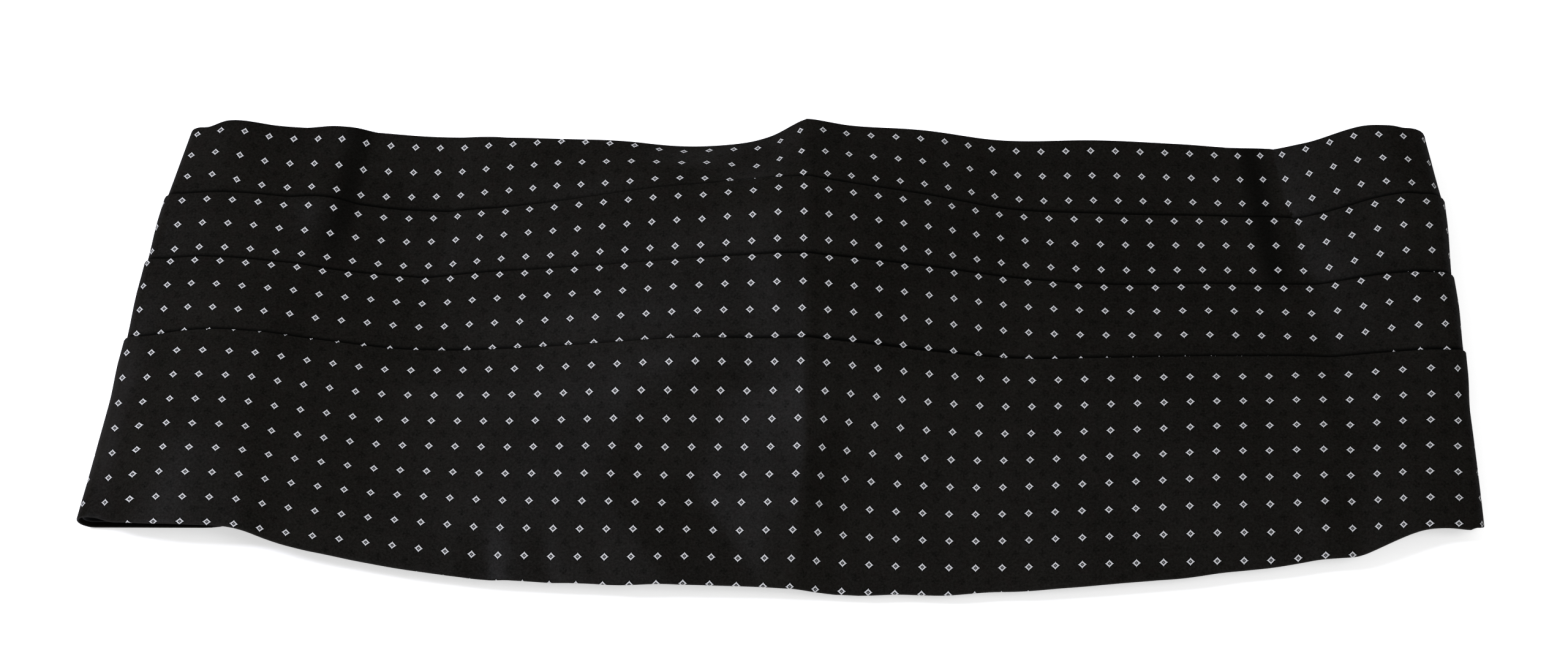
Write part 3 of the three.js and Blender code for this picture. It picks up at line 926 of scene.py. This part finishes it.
def makeSilk():
    material, tree, shader = newMaterial("patterned_silk")
    weave = addNode(tree, "ShaderNodeUVMap", uv_map="weave").outputs["UV"]
    place = addNode(tree, "ShaderNodeTexCoord").outputs["Object"]
    # the painted light and shade held by the mesh: negative for shade, positive for a highlight
    edge = addNode(tree, "ShaderNodeAttribute", attribute_name="paintedLightShade").outputs["Fac"]
    masks = placeGroup(tree, neatGroup, {"Vector": weave}).outputs
    wear = placeGroup(tree, mottleGroup, {"Vector": place}).outputs
    twill = placeGroup(tree, twillGroup, {"Vector": weave, "Ribs": silk["ribs"]}).outputs["Height"]
    specks = calc(tree, "MULTIPLY_ADD", wear["Specks"], *silk["speckle"])
    specks = calc(tree, "ADD", specks, calc(tree, "MULTIPLY_ADD", wear["Patches"], *silk["patches"]))
    colour = mixColours(tree, specks, silk["ground"], silk["patch"])
    blush = calc(tree, "MAXIMUM", calc(tree, "MULTIPLY", wear["Tint"], silk["blushMost"]), 0)
    colour = mixColours(tree, blush, colour, silk["blush"])
    blades = calc(tree, "MULTIPLY_ADD", wear["Specks"], -silk["bladeFade"], silk["bladeFade"])
    dark = calc(tree, "MAXIMUM", masks["Halo"], calc(tree, "MULTIPLY", masks["Pinwheel"], blades))
    # painted shade from the mesh, added to the dark threads and pinwheels of the weave
    dark = calc(tree, "MAXIMUM", dark, calc(tree, "MULTIPLY", edge, -silk["edgeShade"]))
    colour = mixColours(tree, dark, colour, silk["shade"])
    # deeper painted shade from the mesh
    paintedDeepShade = calc(tree, "MAXIMUM", calc(tree, "MULTIPLY", edge, -silk["edgeDeepShade"]), 0)
    colour = mixColours(tree, paintedDeepShade, colour, silk["paintedDeepShade"])
    # painted highlight at the left end and along the lower edges
    paintedRim = calc(tree, "MAXIMUM", calc(tree, "MULTIPLY", edge, silk["edgeHighlight"]), 0)
    colour = mixColours(tree, paintedRim, colour, silk["paintedRim"])
    colour = mixColours(tree, masks["Diamond"], colour, silk["thread"])
    colour = mixColours(tree, wear["Lint"], colour, silk["lint"])
    tree.links.new(colour, shader.inputs["Base Color"])
    smoothest = silk["roughness"] - silk["roughSpread"] / 2
    rough = calc(tree, "MULTIPLY_ADD", wear["Specks"], silk["roughSpread"], smoothest)
    tree.links.new(rough, shader.inputs["Roughness"])
    shader.inputs["Specular IOR Level"].default_value = 0
    shine = calc(tree, "MULTIPLY_ADD", wear["Specks"], *silk["glossSpecks"])
    gloss = calc(tree, "MULTIPLY", silk["gloss"], shine)
    gloss = calc(tree, "MULTIPLY", gloss, calc(tree, "MULTIPLY_ADD", dark, -silk["glossShade"], 1))
    tree.links.new(gloss, shader.inputs["Coat Weight"])
    shader.inputs["Coat Roughness"].default_value = silk["glossRoughness"]
    height = calc(tree, "MULTIPLY_ADD", masks["Diamond"], silk["threadRise"], twill)
    addBump(tree, shader, silk["bump"], silk["bumpDepth"], height)
    return material


def addBump(tree, shader, strength, distance, height):
    inputs = {"Strength": strength, "Distance": distance, "Height": height}
    bump = addNode(tree, "ShaderNodeBump", inputs)
    tree.links.new(bump.outputs["Normal"], shader.inputs["Normal"])


plainCloths = {
    "plain_lining": {"colour": (0.003, 0.003, 0.0032), "ribs": 14, "roughness": 0.7},
    "ribbed_webbing": {"colour": (0.008, 0.008, 0.0085), "ribs": 6, "roughness": 0.65},
}
plainLook = {"lighter": 1.7, "roughSpread": 0.15, "shine": 0.1, "bump": 0.5, "bumpDepth": 0.08 * mm}


def makePlainCloth(name):
    cloth = plainCloths[name]
    material, tree, shader = newMaterial(name)
    weave = addNode(tree, "ShaderNodeUVMap", uv_map="weave").outputs["UV"]
    place = addNode(tree, "ShaderNodeTexCoord").outputs["Object"]
    wear = placeGroup(tree, mottleGroup, {"Vector": place}).outputs
    twill = placeGroup(tree, twillGroup, {"Vector": weave, "Ribs": cloth["ribs"]}).outputs["Height"]
    lighter = tuple(channel * plainLook["lighter"] for channel in cloth["colour"])
    mixed = mixColours(tree, calc(tree, "MULTIPLY", wear["Specks"], twill), cloth["colour"], lighter)
    mixed = mixColours(tree, wear["Lint"], mixed, silk["lint"])
    tree.links.new(mixed, shader.inputs["Base Color"])
    rough = calc(tree, "MULTIPLY_ADD", wear["Patches"], plainLook["roughSpread"], cloth["roughness"])
    tree.links.new(rough, shader.inputs["Roughness"])
    shader.inputs["Specular IOR Level"].default_value = plainLook["shine"]
    addBump(tree, shader, plainLook["bump"], plainLook["bumpDepth"], twill)
    return material


silkMaterial = makeSilk()
liningMaterial = makePlainCloth("plain_lining")
strapMaterial = makePlainCloth("ribbed_webbing")
print("cloth materials made")

# Straps and clasp

webbing = {"rib": 1.6 * mm, "ribRise": 0.12 * mm, "corner": 0.4 * mm, "cornerSteps": 2}
strapNodes = {-1: "strap_left", 1: "strap_right"}


def selectNone():
    bpy.ops.object.select_all(action="DESELECT")


def selectVerts(mesh, wanted):  # leaves the chosen points and the edges between them selected
    for vert in mesh.vertices:
        vert.select = wanted(vert.co)
    for edge in mesh.edges:
        edge.select = all(mesh.vertices[i].select for i in edge.vertices)
    for face in mesh.polygons:
        face.select = all(mesh.vertices[i].select for i in face.vertices)


def makeStrap(side):
    low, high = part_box(strapNodes[side])
    middle = (low + high) / 2
    selectNone()
    bpy.ops.mesh.primitive_cube_add(size=1, location=middle)
    strap = bpy.context.object
    strap.name = strapNodes[side] + "_webbing"
    strap.scale = (high.x - low.x, high.y - low.y, high.z - low.z - 2 * webbing["ribRise"])
    bpy.ops.object.transform_apply(location=True, rotation=True, scale=True)

    # One cut along the strap for each side of a rib
    ribs = round((high.y - low.y) / webbing["rib"]) * 2
    bpy.context.tool_settings.mesh_select_mode = (False, True, False)
    for edge in strap.data.edges:
        ends = [strap.data.vertices[i].co for i in edge.vertices]
        edge.select = abs(ends[0].y - ends[1].y) > webbing["rib"]
    for face in strap.data.polygons:
        face.select = False
    bpy.ops.object.mode_set(mode="EDIT")
    bpy.ops.mesh.subdivide(number_cuts=ribs - 1)
    bpy.ops.object.mode_set(mode="OBJECT")

    def onRib(point):
        step = round((point.y - low.y) / (high.y - low.y) * ribs)
        return step % 2 == 1 and 0 < step < ribs

    bpy.context.tool_settings.mesh_select_mode = (True, False, False)
    selectVerts(strap.data, onRib)
    thick = high.z - low.z
    grown = (1, 1, thick / (thick - 2 * webbing["ribRise"]))
    bpy.ops.object.mode_set(mode="EDIT")
    bpy.ops.transform.resize(value=grown, center_override=middle)
    bpy.ops.object.mode_set(mode="OBJECT")

    bevel = strap.modifiers.new("edges", "BEVEL")
    bevel.width = webbing["corner"]
    bevel.segments = webbing["cornerSteps"]
    bevel.angle_limit = math.radians(60)
    bpy.ops.object.modifier_apply(modifier=bevel.name)
    layer = strap.data.uv_layers.get("weave") or strap.data.uv_layers.new(name="weave")
    for loop in strap.data.loops:
        point = strap.data.vertices[loop.vertex_index].co
        layer.data[loop.index].uv = (point.x / pattern["columnPitch"], point.y / pattern["rowPitch"])
    strap.data.materials.append(strapMaterial)
    print(strap.name, "made,", len(strap.data.polygons), "faces")
    return strap


straps = {side: makeStrap(side) for side in (-1, 1)}
print("straps made")

claspLook = {
    "dark": (0.006, 0.006, 0.0065),
    "light": (0.011, 0.011, 0.012),
    "grainScale": 900,
    "roughness": 0.32,
    "roughSpread": 0.2,
    "bump": 0.2,
    "bumpDepth": 0.05 * mm,
}


def makeClaspMaterial():
    material, tree, shader = newMaterial("clasp_plastic")
    place = addNode(tree, "ShaderNodeTexCoord").outputs["Object"]
    grainInputs = {"Vector": place, "Scale": claspLook["grainScale"], "Detail": 3}
    grain = addNode(tree, "ShaderNodeTexNoise", grainInputs).outputs["Fac"]
    colour = mixColours(tree, grain, claspLook["dark"], claspLook["light"])
    tree.links.new(colour, shader.inputs["Base Color"])
    rough = calc(tree, "MULTIPLY_ADD", grain, claspLook["roughSpread"], claspLook["roughness"])
    tree.links.new(rough, shader.inputs["Roughness"])
    addBump(tree, shader, claspLook["bump"], claspLook["bumpDepth"], grain)
    return material


claspMaterial = makeClaspMaterial()
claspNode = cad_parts["clasp"]
claspNode.data.materials.clear()
claspNode.data.materials.append(claspMaterial)

# What each piece stands for
for name, piece in bandPieces.items():
    piece.data.materials.append(silkMaterial)
    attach(piece, "root")
    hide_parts(name)
liningPiece.data.materials.append(liningMaterial)
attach(liningPiece, "root")
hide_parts("lining")
for side, strap in straps.items():
    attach(strap, "root")
    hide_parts(strapNodes[side])

# Floor and light

studio = {
    "floor": (0.86, 0.86, 0.86),
    "floorGlow": 0.5,
    "floorSize": 12,
    "floorDrop": 0.1 * mm,  # below the lowest point of the part
    "world": 0.55,
    "key": 32,
    "keyPlace": (-0.8, 0, 1.28),
    "keyColour": (0.87, 0.88, 1),
    "keySize": 0.45,
    "fill": 6,
    "fillPlace": (0.6, -0.6, 1.6),
}


def addFloor():
    selectNone()
    place = (0, 0, cadBox[0][2] - studio["floorDrop"])
    bpy.ops.mesh.primitive_plane_add(size=studio["floorSize"], location=place)
    floor = bpy.context.object
    floor.name = "floor"
    material, _, shader = newMaterial("pale_floor")
    shader.inputs["Base Color"].default_value = (*studio["floor"], 1)
    shader.inputs["Roughness"].default_value = 0.9
    shader.inputs["Specular IOR Level"].default_value = 0.1
    shader.inputs["Emission Color"].default_value = (1, 1, 1, 1)
    shader.inputs["Emission Strength"].default_value = studio["floorGlow"]
    floor.data.materials.append(material)


def addArea(name, place, size, power, colour=(1, 1, 1)):
    data = bpy.data.lights.new(name, "AREA")
    data.shape = "SQUARE"
    data.size = size
    data.energy = power
    data.color = colour
    light = bpy.data.objects.new(name, data)
    bpy.context.scene.collection.objects.link(light)
    light.location = place
    light.rotation_mode = "QUATERNION"
    light.rotation_quaternion = (-Vector(place)).to_track_quat("-Z", "Y")


def addStudio():
    addFloor()
    addArea("key_light", studio["keyPlace"], studio["keySize"], studio["key"], studio["keyColour"])
    addArea("fill_light", studio["fillPlace"], studio["keySize"], studio["fill"])
    world = bpy.data.worlds.new("studio")
    world.use_nodes = True
    world.node_tree.nodes["Background"].inputs["Color"].default_value = (1, 1, 1, 1)
    world.node_tree.nodes["Background"].inputs["Strength"].default_value = studio["world"]
    bpy.context.scene.world = world
    bpy.context.scene.view_settings.view_transform = "Standard"
    print("studio made")


addStudio()
